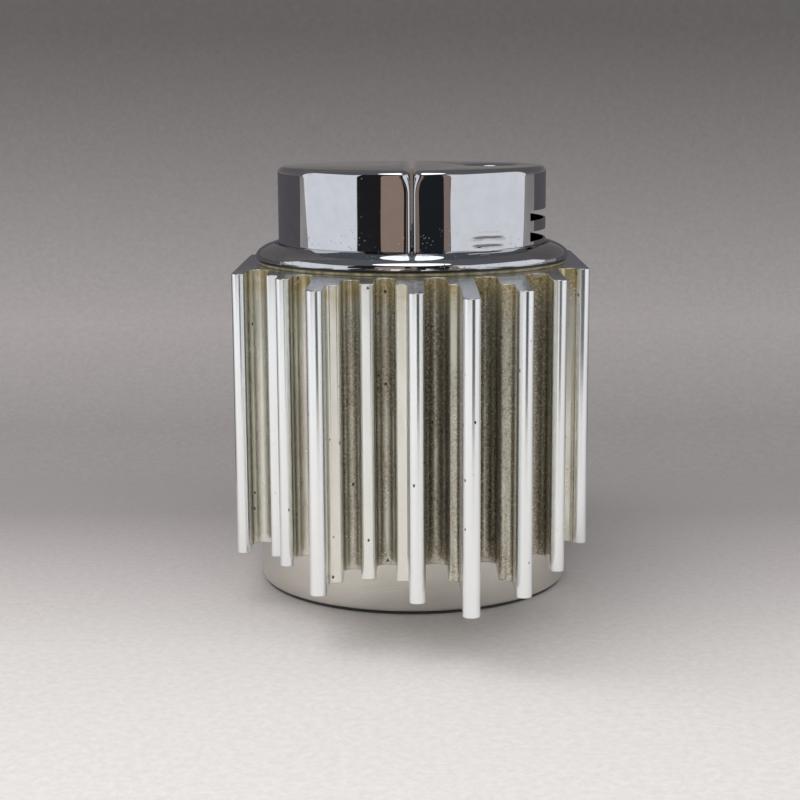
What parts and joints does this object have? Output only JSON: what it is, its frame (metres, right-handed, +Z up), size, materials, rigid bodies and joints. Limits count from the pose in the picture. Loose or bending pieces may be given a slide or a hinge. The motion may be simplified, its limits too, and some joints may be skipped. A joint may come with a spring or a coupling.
{
  "type": "table lighter",
  "caption": "Table lighter: an upright metal body of deep parallel fins with a round push-button gas insert, half button and half flame hood.",
  "frame": {"origin": "middle of the base, on the axis of the insert, on the surface the lighter stands on", "axes": "+Z up along the insert's axis; -Y is the front with the longest fin to the right of centre; +X is the side of the flame hood"},
  "size_m": [0.0536, 0.103, 0.0657],
  "materials": {
    "body_aluminium": "turned and cut aluminium under a clear lacquer that has yellowed in the grooves",
    "chrome_plate": "bright chrome plating with a few small pits",
    "steel": "plated steel, satin",
    "brass": "turned brass",
    "felt": "dense dark felt",
    "gasket": "aged translucent gasket, olive yellow",
    "black_plastic": "moulded black plastic",
    "white_plastic": "moulded off-white plastic",
    "ceramic": "glazed white insulator",
    "seal_rubber": "black nitrile rubber",
    "lead_insulation": "dull red wire insulation"
  },
  "bodies": {
    "lighter_body": {"body_extrusion": "body_aluminium", "base_pad": "felt", "collar_gasket": "gasket", "collar": "chrome_plate", "flame_hood": "chrome_plate", "deck_plate": "steel", "deck_standoff_1": "brass", "deck_standoff_2": "brass", "deck_standoff_3": "brass", "deck_screw_1": "steel", "deck_screw_2": "steel", "deck_screw_3": "steel", "hood_screw_front": "steel", "hood_screw_rear": "steel", "guide_post_front": "steel", "guide_post_rear": "steel", "button_return_spring": "steel", "piezo_case": "black_plastic", "igniter_lead": "lead_insulation", "electrode_holder": "ceramic", "electrode": "steel", "wind_guard": "steel", "lever_pin": "steel", "lever_bracket": "steel", "valve_body": "brass", "tank_shell": "steel", "tank_lid": "steel", "tank_seal": "seal_rubber", "clamp_washer": "steel", "clamp_nut": "brass", "filler_valve_body": "brass", "filler_spring": "steel"},
    "button": {"push_button": "chrome_plate", "button_core": "white_plastic", "piezo_plunger": "brass"},
    "lever": {"jet_lever": "steel"},
    "jet": {"gas_jet": "brass"},
    "adjuster": {"flame_adjuster": "black_plastic"},
    "filler_stem": {"filler_valve_stem": "steel"}
  },
  "joints": [
    {"name": "button_press", "type": "slide", "parent": "lighter_body", "child": "button", "axis": [0, 0, -1], "range_m": [0, 0.003], "stiffness_N_per_m": 1500, "springref_m": -0.002, "deforming": ["button_return_spring"]},
    {"name": "lever_tilt", "type": "hinge", "parent": "lighter_body", "child": "lever", "pos_m": [0.006, 0, 0.0489], "axis": [0, -1, 0], "range_deg": [0, 12.5]},
    {"name": "jet_lift", "type": "slide", "parent": "lighter_body", "child": "jet", "axis": [0, 0, 1], "range_m": [0, 0.0017]},
    {"name": "flame_adjust", "type": "hinge", "parent": "lighter_body", "child": "adjuster", "pos_m": [0, 0, 0.0066], "axis": [0, 0, 1], "range_deg": [-70, 70]},
    {"name": "filler_press", "type": "slide", "parent": "lighter_body", "child": "filler_stem", "axis": [0, 0, 1], "range_m": [0, 0.0012], "stiffness_N_per_m": 400, "springref_m": -0.001, "deforming": ["filler_spring"]}
  ],
  "couplings": [
    {"joint": "lever_tilt", "follows": "button_press", "rad_per_m": 72},
    {"joint": "jet_lift", "follows": "button_press", "ratio": 0.55}
  ]
}
